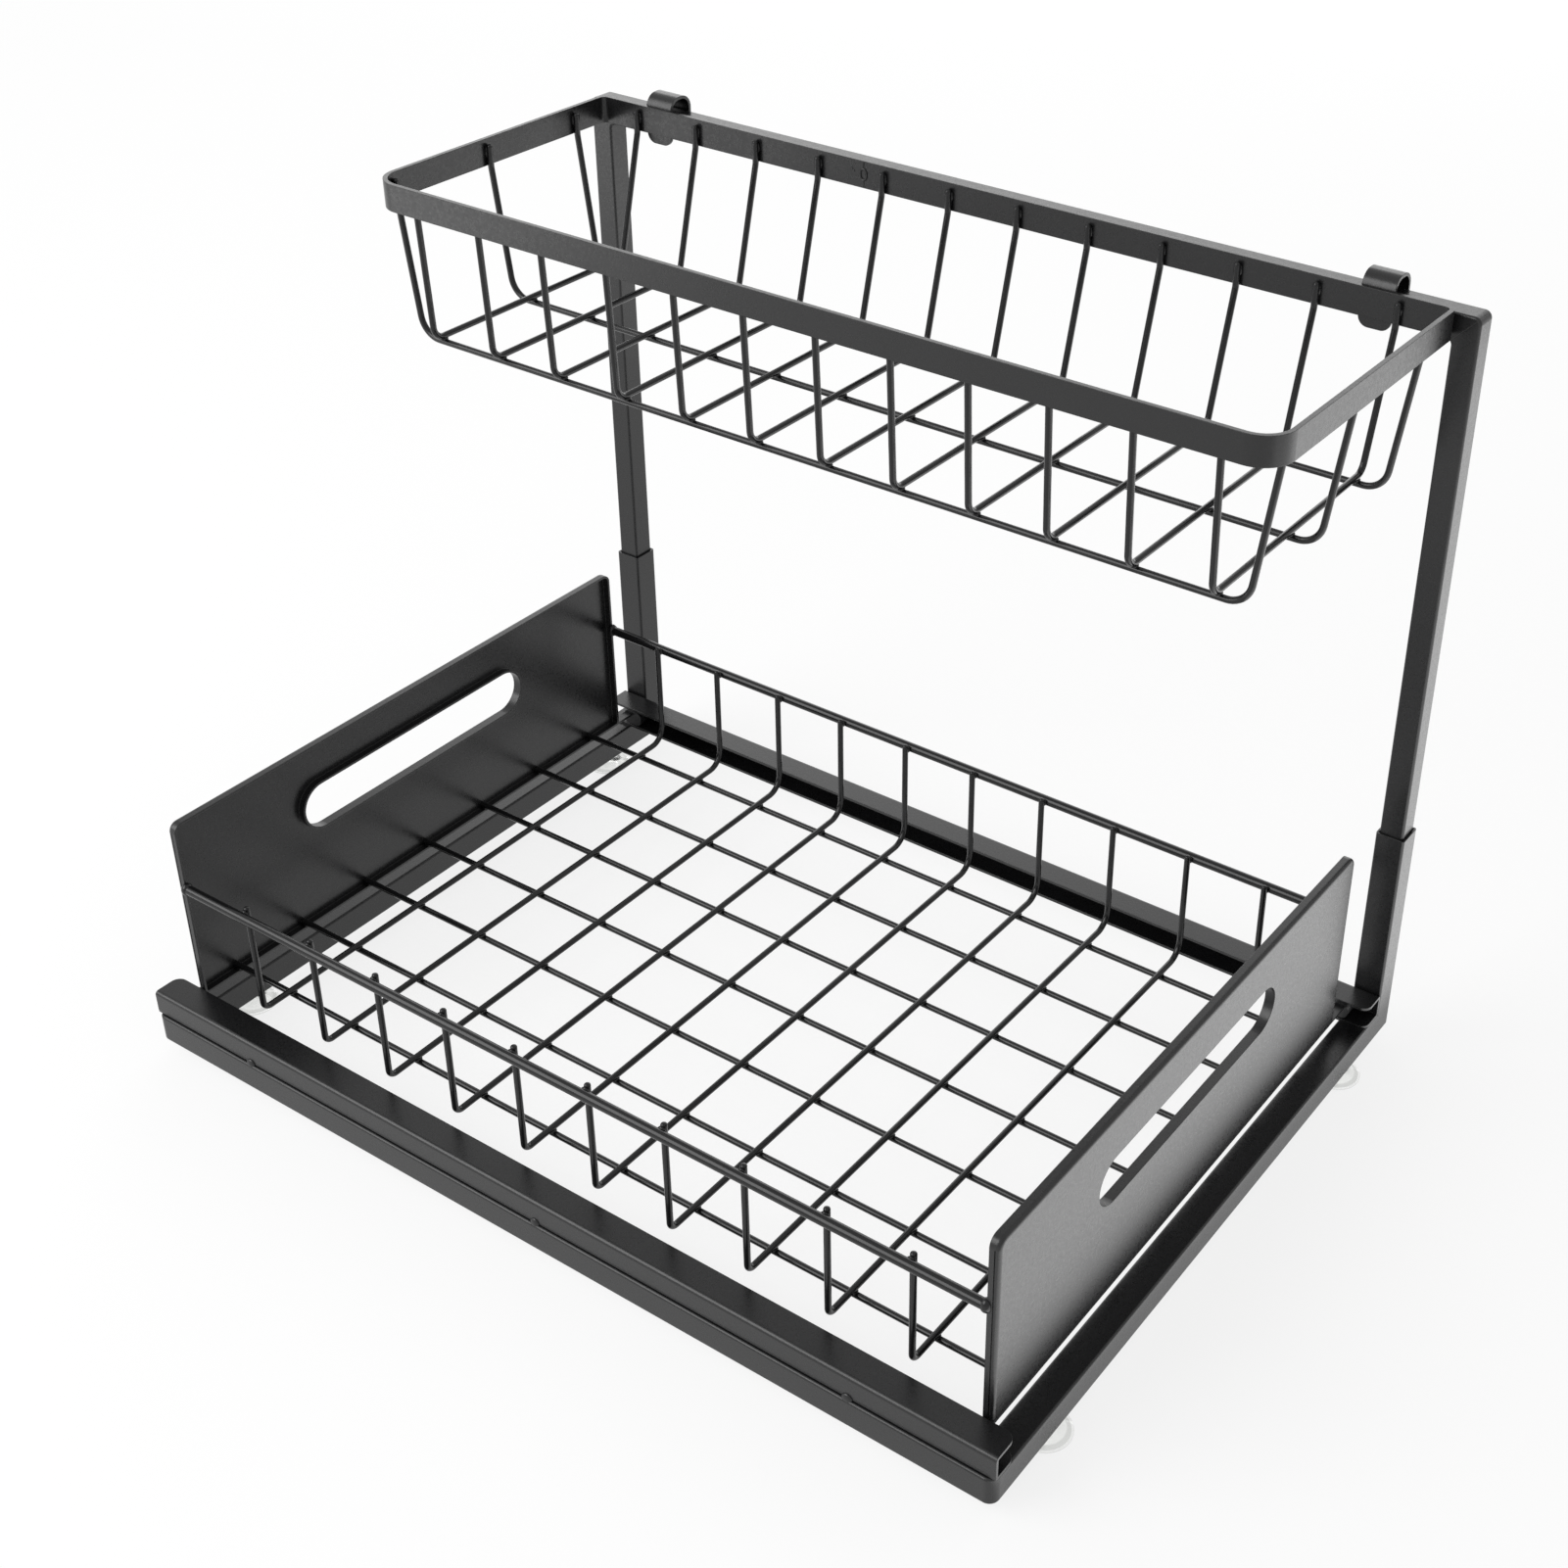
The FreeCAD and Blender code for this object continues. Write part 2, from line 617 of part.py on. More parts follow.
def drawer_cross_wire(index):
    """A floor wire across the drawer whose ends rise inside the rails."""
    body = new_body("drawer_cross_wire_%02d" % (index + 1))
    x = s.drawer_inset + drawer_length * (index + 1) / (DRAWER_CROSS_WIRES + 1)
    inside = s.panel_sheet / 2 + s.rail / 2 + s.wire / 2 + s.fit_gap
    front, rear = panel_front + inside, panel_rear - inside
    tip = rail_z + s.tip_rise
    path = new_sketch(body, "path", "YZ", x)
    corners = [(front, tip), (front, cross_wire_z + s.front_bend), (front + s.front_bend, cross_wire_z),
               (rear - s.rear_bend, cross_wire_z), (rear, cross_wire_z + s.rear_bend), (rear, tip)]
    bends = {1: s.front_bend, 3: s.rear_bend}
    points = [Vector(u.value, v.value, 0) for u, v in corners]
    edges = []
    for i in range(len(points) - 1):
        if i in bends:
            edges.append(path.addGeometry(arc_between(points[i], points[i + 1], bends[i].value, 1)))
            bind(path, "Radius", edges[-1], size=bends[i])
        else:
            edges.append(path.addGeometry(Part.LineSegment(points[i], points[i + 1])))
        pin(path, edges[-1], 1, *corners[i])
    pin(path, edges[-1], 2, *corners[-1])
    for before, after in zip(edges, edges[1:]):
        path.addConstraint(Sketcher.Constraint("Coincident", before, 2, after, 1))
    section = circle(new_sketch(body, "section", "XY", tip), x, front, s.wire / 2)
    swept = body.newObject("PartDesign::AdditivePipe", "swept")
    swept.Profile = section
    swept.Spine = path


# Basket: a band, cross and long wires welded inside it and two hooks

def rim_band():
    body = new_body("basket_rim_band")
    left = s.basket_inset
    section = new_sketch(body, "section", "XY", band_bottom)
    for offset in (zero, s.band_sheet):
        rounded_rectangle(section, left + offset, band_front + offset, left + band_length - offset,
                          band_rear - offset, s.band_corner - offset, s.band_rear_corner - offset)
    pad(body, section, s.band_height)


def basket_levels():
    tip = band_top - s.wire_below_rim
    flat = band_top - s.basket_drop
    inside = s.band_sheet + s.wire / 2 + s.fit_gap
    return tip, flat, inside


def basket_cross_wire(index):
    tip, flat, inside = basket_levels()
    pitch = (band_length - s.basket_wire_in * 2) / (BASKET_CROSS_WIRES - 1)
    x = s.basket_inset + s.basket_wire_in + pitch * index
    bent_wire("basket_cross_wire_%02d" % (index + 1), "YZ", x, band_front + inside, band_rear - inside,
              (band_front + s.basket_front_in, band_rear - s.basket_rear_in),
              tip, band_bottom, flat, s.basket_bend)


def basket_long_wire(index):
    tip, flat, inside = basket_levels()
    left = s.basket_inset
    run_front = band_front + s.basket_front_in
    run_rear = band_rear - s.basket_rear_in
    y = run_front + (run_rear - run_front) * index / (BASKET_LONG_WIRES - 1)
    bent_wire("basket_long_wire_%d" % (index + 1), "XZ", y, left + inside,
              left + band_length - inside,
              (left + s.basket_side_in, left + band_length - s.basket_side_in),
              tip, band_bottom, flat - s.wire - s.fit_gap, s.basket_end_bend)


def hook(side, label):
    """A strip welded behind the band, bent square over the bar, with a rounded tab and a rear leg."""
    body = new_body(label)
    x0 = side_x(side, s.basket_inset + s.hook_in) - s.hook_width / 2
    tab = band_bottom - s.hook_tab
    leg = bar_top - s.hook_leg
    thick, bend = s.hook_sheet, s.hook_bend
    outer = bend + thick
    under = bar_top + s.hook_rise
    over = under + thick
    y0, y1 = hook_front, hook_rear
    profile = new_sketch(body, "profile", "YZ", x0)
    outline(profile, [
        (y0, tab), (y0 + thick, tab), (y0 + thick, under - bend, bend, -1), (y0 + outer, under),
        (y1 - outer, under, bend, -1), (y1 - thick, under - bend), (y1 - thick, leg),
        (y1, leg), (y1, over - outer, outer, 1), (y1 - outer, over),
        (y0 + outer, over, outer, 1), (y0, over - outer)])
    strip = pad(body, profile, s.hook_width)
    ends = (tab.value, leg.value)
    fillet(body, strip, s.hook_tab_round, Vector(0, 1, 0),
           lambda middle: any(near(middle.z, z) for z in ends))


SIDES = ((-1, "left"), (1, "right"))
ENDS = ((-1, "front"), (1, "rear"))

front_beam()
channel("front_slide_channel", s.channel_setback, 1)
channel("rear_slide_channel", post_front, -1)
for side, word in SIDES:
    foot(side, word + "_foot")
    sleeve(side, word + "_post_sleeve")
    for (_, end_word), cup_y in zip(ENDS, cup_places()):
        suction_cup(side, cup_y, "%s_%s_suction_cup" % (end_word, word))
    upper_member(word + "_upright", lambda offset, side=side: upright_outline(side, offset), Vector(0, 0, 1))
    panel(side, word + "_drawer_panel")
    for end, end_word in ENDS:
        glide(side, end, "%s_%s_glide" % (end_word, word))
    hook(side, word + "_hook")
upper_member("top_bar", bar_outline, Vector(1, 0, 0))
drawer_rail("drawer_front_rail", panel_front + s.panel_sheet / 2)
drawer_rail("drawer_rear_rail", panel_rear - s.panel_sheet / 2)
for number in range(DRAWER_LONG_WIRES):
    drawer_long_wire(number)
for number in range(DRAWER_CROSS_WIRES):
    drawer_cross_wire(number)
rim_band()
for number in range(BASKET_CROSS_WIRES):
    basket_cross_wire(number)
for number in range(BASKET_LONG_WIRES):
    basket_long_wire(number)

doc.recompute()
failed = [item.Label for item in doc.Objects if "Invalid" in item.State or "Error" in item.State]
sub_parts = [item for item in doc.Objects if item.TypeId in ("PartDesign::Body", "Part::Cylinder")]
failed += [item.Label for item in sub_parts if item.Shape.isNull() or not item.Shape.isValid()]
if failed:
    raise RuntimeError("failed: " + ", ".join(failed))
os.makedirs("parts", exist_ok=True)
for item in sub_parts:
    item.Shape.exportStep("parts/%s.step" % item.Label)
    print(item.Label, len(item.Shape.Solids), round(item.Shape.Volume, 1))
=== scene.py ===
import math
import bpy
import numpy as np
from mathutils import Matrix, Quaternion, Vector


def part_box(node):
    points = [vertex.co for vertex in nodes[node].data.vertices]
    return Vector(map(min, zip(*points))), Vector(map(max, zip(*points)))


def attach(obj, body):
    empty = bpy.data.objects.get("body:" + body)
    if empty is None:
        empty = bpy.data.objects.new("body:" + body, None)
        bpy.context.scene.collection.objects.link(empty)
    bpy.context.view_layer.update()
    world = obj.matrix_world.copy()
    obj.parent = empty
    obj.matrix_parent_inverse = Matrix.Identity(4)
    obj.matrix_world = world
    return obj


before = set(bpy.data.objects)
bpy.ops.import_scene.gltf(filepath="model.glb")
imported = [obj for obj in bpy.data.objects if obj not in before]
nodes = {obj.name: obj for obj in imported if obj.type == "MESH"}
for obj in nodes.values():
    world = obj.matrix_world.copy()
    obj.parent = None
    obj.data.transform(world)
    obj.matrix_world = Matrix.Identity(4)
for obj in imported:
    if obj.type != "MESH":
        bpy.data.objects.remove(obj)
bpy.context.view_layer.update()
mm = 0.001
print("frame loaded:", len(nodes), "nodes")


# small helpers

def hexColour(code):
    # sRGB hex to linear, with full alpha
    srgb = np.array([int(code[i:i + 2], 16) for i in (1, 3, 5)]) / 255
    linear = np.where(srgb <= 0.04045, srgb / 12.92, ((srgb + 0.055) / 1.055) ** 2.4)
    return (*linear.tolist(), 1.0)


def addNode(tree, kind, inputs=None, **settings):
    # one shader node: settings are its own fields, inputs are numbers or sockets to link
    node = tree.nodes.new(kind)
    for field, value in settings.items():
        setattr(node, field, value)
    for socket, value in (inputs or {}).items():
        if isinstance(value, bpy.types.NodeSocket):
            tree.links.new(value, node.inputs[socket])
        else:
            node.inputs[socket].default_value = value
    return node


def newMaterial(name):
    material = bpy.data.materials.new(name)
    material.use_nodes = True
    material.node_tree.nodes.clear()
    return material, material.node_tree


def perMetre(size):
    # noise scale whose grain is this many millimetres wide
    return 1 / (size * mm)


# camera, at the photograph's viewing angle

photoCamera = {
    "eye": (451.7, -562.8, 614.0),   # mm
    "aim": (53.4, 46.3, 155.8),      # mm, a point on the lens axis
    "roll": 1.5,                     # degrees
    "imageSide": 1601,               # pixels
    "focal": 2334.8,                 # pixels
    "axisAt": (983.2, 725.3),        # pixel where the lens axis meets the picture
}


def makeCamera(setup):
    data = bpy.data.cameras.new("photoCamera")
    side = setup["imageSide"]
    data.lens = data.sensor_width * setup["focal"] / side
    data.shift_x = (side / 2 - setup["axisAt"][0]) / side
    data.shift_y = (setup["axisAt"][1] - side / 2) / side
    data.clip_start, data.clip_end = 0.01, 100
    camera = bpy.data.objects.new("photoCamera", data)
    eye, aim = Vector(setup["eye"]) * mm, Vector(setup["aim"]) * mm
    turn = (aim - eye).to_track_quat("-Z", "Y") @ Quaternion((0, 0, 1), math.radians(setup["roll"]))
    camera.rotation_mode = "QUATERNION"
    camera.location, camera.rotation_quaternion = eye, turn
    bpy.context.scene.collection.objects.link(camera)
    bpy.context.scene.camera = camera


makeCamera(photoCamera)
print("camera set")


# materials

powderCoat = {
    "light": "#151516", "dark": "#0e0e0f",
    "cloud": 40,                     # mm, slow change of shade from the spray
    "peel": 1.3, "grit": 0.45,       # mm, orange peel and the fine grit in it
    "roughness": (0.26, 0.33), "ior": 1.5,
    "peelHeight": 0.016, "gritHeight": 0.003,  # mm
    "edge": 0.35,                    # mm, paint rounding the sheet's cut edges
}


def makePowderCoat(name, setup, grain):
    # baked polyester powder on steel: deep black, satin, with a fine orange peel
    material, tree = newMaterial(name)
    place = addNode(tree, "ShaderNodeTexCoord").outputs["Object"]
    cloud = addNode(tree, "ShaderNodeTexNoise", {
        "Vector": place, "Scale": perMetre(setup["cloud"]), "Detail": 2.0})
    peel = addNode(tree, "ShaderNodeTexNoise", {
        "Vector": place, "Scale": perMetre(setup["peel"]), "Detail": 1.5, "Roughness": 0.5})
    grit = addNode(tree, "ShaderNodeTexNoise", {
        "Vector": place, "Scale": perMetre(setup["grit"]), "Detail": 1.0})
    shade = addNode(tree, "ShaderNodeMix", {
        0: cloud.outputs["Fac"],
        6: hexColour(setup["dark"]), 7: hexColour(setup["light"])}, data_type="RGBA")
    low, high = setup["roughness"]
    rough = addNode(tree, "ShaderNodeMapRange", {
        "Value": peel.outputs["Fac"], "From Min": 0.3, "From Max": 0.7, "To Min": low, "To Max": high})
    edge = addNode(tree, "ShaderNodeBevel", {"Radius": setup["edge"] * mm}, samples=4)
    peelBump = addNode(tree, "ShaderNodeBump", {
        "Height": peel.outputs["Fac"], "Distance": setup["peelHeight"] * mm * grain, "Strength": 1.0,
        "Normal": edge.outputs["Normal"]})
    gritBump = addNode(tree, "ShaderNodeBump", {
        "Height": grit.outputs["Fac"], "Distance": setup["gritHeight"] * mm * grain, "Strength": 1.0,
        "Normal": peelBump.outputs["Normal"]})
    coat = addNode(tree, "ShaderNodeBsdfPrincipled", {
        "Base Color": shade.outputs[2], "Roughness": rough.outputs["Result"],
        "Normal": gritBump.outputs["Normal"], "IOR": setup["ior"]})
    addNode(tree, "ShaderNodeOutputMaterial", {"Surface": coat.outputs["BSDF"]})
    return material


sheetCoat = makePowderCoat("blackPowderCoatSheet", powderCoat, 1.0)
wireCoat = makePowderCoat("blackPowderCoatWire", {**powderCoat, "roughness": (0.15, 0.18), "ior": 1.42}, 0.1)

clearVinyl = {
    # the lip colour is painted shade: grey standing in for the dark line along the clear lip's edge
    "tint": "#f8f9f7", "lipShade": "#d2d3d1",
    "lipShadeTop": (0.4, 0.6),            # mm above the floor where the painted shade along the lip clears
    "roughness": (0.06, 0.14), "ripple": 3.0,
}


def makeClearVinyl(setup):
    # moulded soft vinyl: clear, with painted grey shade along its lip standing in for the dark line its clear
    # edge shows, and a slow moulded ripple
    material, tree = newMaterial("clearSoftVinyl")
    place = addNode(tree, "ShaderNodeTexCoord").outputs["Object"]
    height = addNode(tree, "ShaderNodeSeparateXYZ", {0: place}).outputs["Z"]
    clear = addNode(tree, "ShaderNodeMapRange", {
        "Value": height, "From Min": setup["lipShadeTop"][0] * mm, "From Max": setup["lipShadeTop"][1] * mm})
    # painted shade: the lip's grey below its clearing height, the clear tint above
    tint = addNode(tree, "ShaderNodeMix", {
        0: clear.outputs["Result"],
        6: hexColour(setup["lipShade"]), 7: hexColour(setup["tint"])}, data_type="RGBA")
    ripple = addNode(tree, "ShaderNodeTexNoise", {
        "Vector": place, "Scale": perMetre(setup["ripple"]), "Detail": 1.0})
    low, high = setup["roughness"]
    rough = addNode(tree, "ShaderNodeMapRange", {
        "Value": ripple.outputs["Fac"], "To Min": low, "To Max": high})
    vinyl = addNode(tree, "ShaderNodeBsdfPrincipled", {
        "Base Color": tint.outputs[2], "Roughness": rough.outputs["Result"],
        "IOR": 1.52, "Transmission Weight": 1.0})
    addNode(tree, "ShaderNodeOutputMaterial", {"Surface": vinyl.outputs["BSDF"]})
    return material


moulding = {"light": "#1b1b1c", "dark": "#131314", "mottle": 6.0, "roughness": (0.42, 0.55)}


def makeNylon(setup):
    # injection-moulded nylon: black, a little softer than the coat, faintly mottled
    material, tree = newMaterial("blackMouldedNylon")
    place = addNode(tree, "ShaderNodeTexCoord").outputs["Object"]
    mottle = addNode(tree, "ShaderNodeTexNoise", {
        "Vector": place, "Scale": perMetre(setup["mottle"]), "Detail": 3.0})
    shade = addNode(tree, "ShaderNodeMix", {
        0: mottle.outputs["Fac"],
        6: hexColour(setup["dark"]), 7: hexColour(setup["light"])}, data_type="RGBA")
    low, high = setup["roughness"]
    rough = addNode(tree, "ShaderNodeMapRange", {
        "Value": mottle.outputs["Fac"], "To Min": low, "To Max": high})
    nylon = addNode(tree, "ShaderNodeBsdfPrincipled", {
        "Base Color": shade.outputs[2], "Roughness": rough.outputs["Result"], "IOR": 1.53})
    addNode(tree, "ShaderNodeOutputMaterial", {"Surface": nylon.outputs["BSDF"]})
    return material


vinyl = makeClearVinyl(clearVinyl)
nylon = makeNylon(moulding)


def finishFor(name):
    if "suction_cup" in name:
        return vinyl
    if "glide" in name:
        return nylon
    return wireCoat if "wire" in name or "rail" in name else sheetCoat


for name, piece in nodes.items():
    if not piece.material_slots:
        piece.data.materials.append(None)
    for place in piece.material_slots:
        place.material = finishFor(name)
print("materials set")


# weld beads and wire ends

def ballGrid(rings, sides):
    # unit ball: rings of points by angle from the pole and angle round, one point at each pole
    tilt = np.linspace(0, math.pi, rings + 2)[1:-1, None]
    turn = np.linspace(0, 2 * math.pi, sides, endpoint=False)[None, :]
    rows = np.stack([np.sin(tilt) * np.cos(turn), np.sin(tilt) * np.sin(turn),
                     np.cos(tilt) + 0 * turn], axis=-1).reshape(-1, 3)
    points = np.vstack([[(0, 0, 1)], rows, [(0, 0, -1)]])
    here = 1 + np.arange(rings * sides).reshape(rings, sides)
    beside = np.roll(here, -1, axis=1)
    bands = np.stack([here[:-1], here[1:], beside[1:], beside[:-1]], axis=-1).reshape(-1, 4)
    last = rings * sides + 1
    top = np.stack([0 * here[0], here[0], beside[0]], axis=-1)
    bottom = np.stack([0 * here[0] + last, beside[-1], here[-1]], axis=-1)
    return points, bands, np.vstack([top, bottom])


def putBeads(name, body, coat, centres, radii, setup):
    # every bead is the unit ball stretched to its radii, made a little uneven, and moved to its centre
    points, bands, caps = ballGrid(setup["rings"], setup["sides"])
    centres = np.asarray(centres, float)
    radii = np.broadcast_to(np.asarray(radii, float), centres.shape)
    draw = np.random.default_rng(setup["seed"])
    radii = radii * (1 + setup["uneven"] * draw.uniform(-1, 1, centres.shape))
    placed = (centres[:, None, :] + points[None] * radii[:, None, :]).reshape(-1, 3)
    first = np.arange(len(centres))[:, None, None] * len(points)
    quads = (bands[None] + first).reshape(-1, 4)
    tris = (caps[None] + first).reshape(-1, 3)
    addPiece(name, body, coat, placed, quads.tolist() + tris.tolist())


def addPiece(name, body, coat, points, faces, smooth=True):
    mesh = bpy.data.meshes.new(name)
    mesh.from_pydata((points * mm).tolist(), [], faces)
    mesh.polygons.foreach_set("use_smooth", np.full(len(mesh.polygons), smooth))
    mesh.materials.append(coat)
    piece = bpy.data.objects.new(name, mesh)
    bpy.context.scene.collection.objects.link(piece)
    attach(piece, body)


def nodeBox(name):
    low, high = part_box(name)
    return np.array(low) / mm, np.array(high) / mm


def boxesOf(prefix):
    # low and high corners, in mm, of all nodes whose name starts so, as two arrays
    found = [nodeBox(name) for name in sorted(nodes) if name.startswith(prefix)]
    return np.array([low for low, high in found]), np.array([high for low, high in found])


def spots(*columns):
    # one row of x, y, z for each combination the columns broadcast to
    return np.stack(np.broadcast_arrays(*columns), axis=-1).reshape(-1, 3)


wireRadius = 1.25  # mm

wireEnds = {"radii": (1.27, 1.27, 0.9), "rings": 5, "sides": 12, "uneven": 0.03, "seed": 4}


def makeWireEnds(setup):
    # a rounded drop of coat on each wire's upper end
    low, high = boxesOf("drawer_cross_wire")
    x = (low[:, 0] + high[:, 0]) / 2
    tips = [spots(x, low[:, 1] + wireRadius, high[:, 2]), spots(x, high[:, 1] - wireRadius, high[:, 2])]
    putBeads("drawer_wire_ends", "drawer", wireCoat, np.vstack(tips), setup["radii"], setup)
    low, high = boxesOf("basket_cross_wire")
    x = (low[:, 0] + high[:, 0]) / 2
    tips = [spots(x, low[:, 1] + wireRadius, high[:, 2]), spots(x, high[:, 1] - wireRadius, high[:, 2])]
    low, high = boxesOf("basket_long_wire")
    y = (low[:, 1] + high[:, 1]) / 2
    tips += [spots(low[:, 0] + wireRadius, y, high[:, 2]), spots(high[:, 0] - wireRadius, y, high[:, 2])]
    putBeads("basket_wire_ends", "basket", wireCoat, np.vstack(tips), setup["radii"], setup)


crossingWelds = {"radii": (1.6, 1.6, 0.8), "rings": 4, "sides": 10, "uneven": 0.12, "seed": 7}


def makeCrossingWelds(body, setup):
    # a squeezed-out disc where each cross wire lies on each long wire
    crossLow, crossHigh = boxesOf(body + "_cross_wire")
    longLow, longHigh = boxesOf(body + "_long_wire")
    x = (crossLow[:, 0] + crossHigh[:, 0])[:, None] / 2
    y = (longLow[:, 1] + longHigh[:, 1])[None, :] / 2
    z = (crossLow[:, 2].min() + longLow[:, 2].min() + 2 * wireRadius) / 2
    putBeads(body + "_floor_welds", body, wireCoat, spots(x, y, z), setup["radii"], setup)


railWelds = {"radii": (1.7, 1.0, 1.8), "endRadii": (2.4, 2.5, 2.7), "endIn": 0.4,
             "rings": 5, "sides": 12, "uneven": 0.1, "seed": 11}


def makeRailWelds(setup):
    # beads between the rails and the wires' upright ends, and round the rails' ends at the panels
    low, high = boxesOf("drawer_cross_wire")
    x = (low[:, 0] + high[:, 0]) / 2
    frontLow, frontHigh = nodeBox("drawer_front_rail")
    rearLow, rearHigh = nodeBox("drawer_rear_rail")
    z = (frontLow[2] + frontHigh[2]) / 2
    beads = np.vstack([spots(x, frontHigh[1], z), spots(x, rearLow[1], z)])
    putBeads("drawer_rail_welds", "drawer", wireCoat, beads, setup["radii"], setup)
    ends = spots(np.array([frontLow[0] + setup["endIn"], frontHigh[0] - setup["endIn"]])[:, None],
                 np.array([frontLow[1] + frontHigh[1], rearLow[1] + rearHigh[1]])[None, :] / 2, z)
    putBeads("drawer_rail_end_welds", "drawer", wireCoat, ends, setup["endRadii"], setup)


panelWelds = {"radii": (1.7, 1.7, 0.8), "onRim": 2.4, "rings": 4, "sides": 10, "uneven": 0.15, "seed": 13}


def makePanelWelds(setup):
    # flat beads where the long wires lie on the panels' lower rims
    low, high = boxesOf("drawer_long_wire")
    y = (low[:, 1] + high[:, 1]) / 2
    beads = np.vstack([spots(low[:, 0] + setup["onRim"], y, low[:, 2]),
                       spots(high[:, 0] - setup["onRim"], y, low[:, 2])])
    putBeads("drawer_panel_welds", "drawer", wireCoat, beads, setup["radii"], setup)


bandWelds = {"along": (1.5, 0.7, 2.6), "across": (0.7, 1.5, 2.6),
             "rings": 5, "sides": 10, "uneven": 0.12, "seed": 17}


def makeBandWelds(setup):
    # flat beads that hold the wires' straight ends to the inside of the band
    bandLow, bandHigh = nodeBox("basket_rim_band")
    z = (bandLow[2] + bandHigh[2]) / 2
    low, high = boxesOf("basket_cross_wire")
    x = (low[:, 0] + high[:, 0]) / 2
    beads = [spots(x, low[:, 1], z), spots(x, high[:, 1], z)]
    radii = [np.tile(setup["along"], (2 * len(x), 1))]
    low, high = boxesOf("basket_long_wire")
    y = (low[:, 1] + high[:, 1]) / 2
    beads += [spots(low[:, 0], y, z), spots(high[:, 0], y, z)]
    radii += [np.tile(setup["across"], (2 * len(y), 1))]
    putBeads("basket_band_welds", "basket", wireCoat, np.vstack(beads), np.vstack(radii), setup)


seamWelds = {"x": (-146.3, 2.3, 141.2), "radii": (2.3, 1.0, 2.4), "uneven": 0.05, "behind": 0.04,
             "rings": 9, "sides": 20, "seed": 19}


def makeSeamWelds(setup):
    # round tack welds that fill the seam between the front channel and the beam, just behind the beam's face
    channelLow, channelHigh = nodeBox("front_slide_channel")
    beamLow, beamHigh = nodeBox("front_beam")
    deep = setup["radii"][1] * (1 + setup["uneven"]) + setup["behind"]
    beads = spots(np.array(setup["x"]), beamLow[1] + deep, channelLow[2])
    putBeads("base_seam_welds", "base", sheetCoat, beads, setup["radii"], setup)


seamPaint = {
    # across the seam: mm behind the channel's face, mm above its underside
    "profile": ((0.02, 1.7), (0.02, 0.5), (0.08, 0.36), (0.2, 0.3), (1.3, 0.25), (1.3, 1.0), (0.6, 1.7)),
    "endIn": 0.1,
}


def makeSeamPaint(setup):
    # paint run into the front channel's lower bend, so that its face goes straight down to a thin seam:
    # the profile swept along the frame and closed at both ends
    low, high = nodeBox("front_slide_channel")
    across = np.array(setup["profile"]) + low[1:]
    ends = np.array([low[0] + setup["endIn"], high[0] - setup["endIn"]])
    points = spots(ends[:, None], across[None, :, 0], across[None, :, 1])
    count = len(across)
    here = np.arange(count)
    beside = np.roll(here, -1)
    sides = np.stack([here, beside, beside + count, here + count], axis=-1)
    caps = [here[::-1].tolist(), (here + count).tolist()]
    addPiece("base_seam_paint", "base", sheetCoat, points, sides.tolist() + caps, smooth=False)


buttWeld = {"between": (4, 5), "share": 0.69, "ring": (1.5, 2.2), "thick": 0.45, "around": 32, "across": 10,
            "seam": (0.25, 0.2, 1.6), "pits": ((-4.6, 0.7), (-5.4, 1.6)), "pitRadii": (0.45, 0.25, 0.45),
            "rings": 5, "sides": 12, "uneven": 0.05, "seed": 23}


def makeButtWeld(setup):
    # where the band's ends meet at the back: a ring of metal pressed up by the weld, half sunk in the inner
    # face, with a short seam above and below it and two pits beside it. Each point of the ring is the centre
    # plus the ring's radius and the tube's cosine, turned round; the tube's sine goes inward
    left, right = [nodeBox("basket_cross_wire_%02d" % number) for number in setup["between"]]
    bandLow, bandHigh = nodeBox("basket_rim_band")
    ends = [(low[0] + high[0]) / 2 for low, high in (left, right)]
    x = ends[0] + (ends[1] - ends[0]) * setup["share"]
    y, z = left[1][1], (bandLow[2] + bandHigh[2]) / 2
    turn = np.linspace(0, 2 * math.pi, setup["around"], endpoint=False)[:, None]
    roll = np.linspace(0, 2 * math.pi, setup["across"], endpoint=False)[None, :]
    tube = setup["thick"] * np.cos(roll)
    ring = spots(x + (setup["ring"][0] + tube) * np.cos(turn), y - setup["thick"] * np.sin(roll),
                 z + (setup["ring"][1] + tube) * np.sin(turn))
    here = np.arange(len(ring)).reshape(setup["around"], setup["across"])
    ahead, beside = np.roll(here, -1, axis=0), np.roll(here, -1, axis=1)
    faces = np.stack([here, ahead, np.roll(ahead, -1, axis=1), beside], axis=-1).reshape(-1, 4)
    addPiece("basket_butt_weld", "basket", sheetCoat, ring, faces.tolist())
    half = (bandHigh[2] - bandLow[2]) / 2 - setup["seam"][2]
    marks = [(x, y, z - half), (x, y, z + half)] + [(x + away, y, z + up) for away, up in setup["pits"]]
    radii = [setup["seam"]] * 2 + [setup["pitRadii"]] * len(setup["pits"])
    putBeads("basket_butt_marks", "basket", sheetCoat, marks, radii, setup)


makeWireEnds(wireEnds)
makeCrossingWelds("drawer", crossingWelds)
makeCrossingWelds("basket", crossingWelds)
makeRailWelds(railWelds)
makePanelWelds(panelWelds)
makeBandWelds(bandWelds)
makeSeamWelds(seamWelds)
makeSeamPaint(seamPaint)
makeButtWeld(buttWeld)
print("welds and wire ends made")


# floor, world and lamps

stageSetup = {
    "floorSide": 12.0,               # m
    "shadowShare": 0.2,              # how much of the floor's tone the shadow may take
    "floorColour": "#ffffff",
    "skyBright": 34, "skyDark": 52,  # degrees above the horizon between which the tent fades
    "above": 0.5,                    # strength of the tent overhead
}


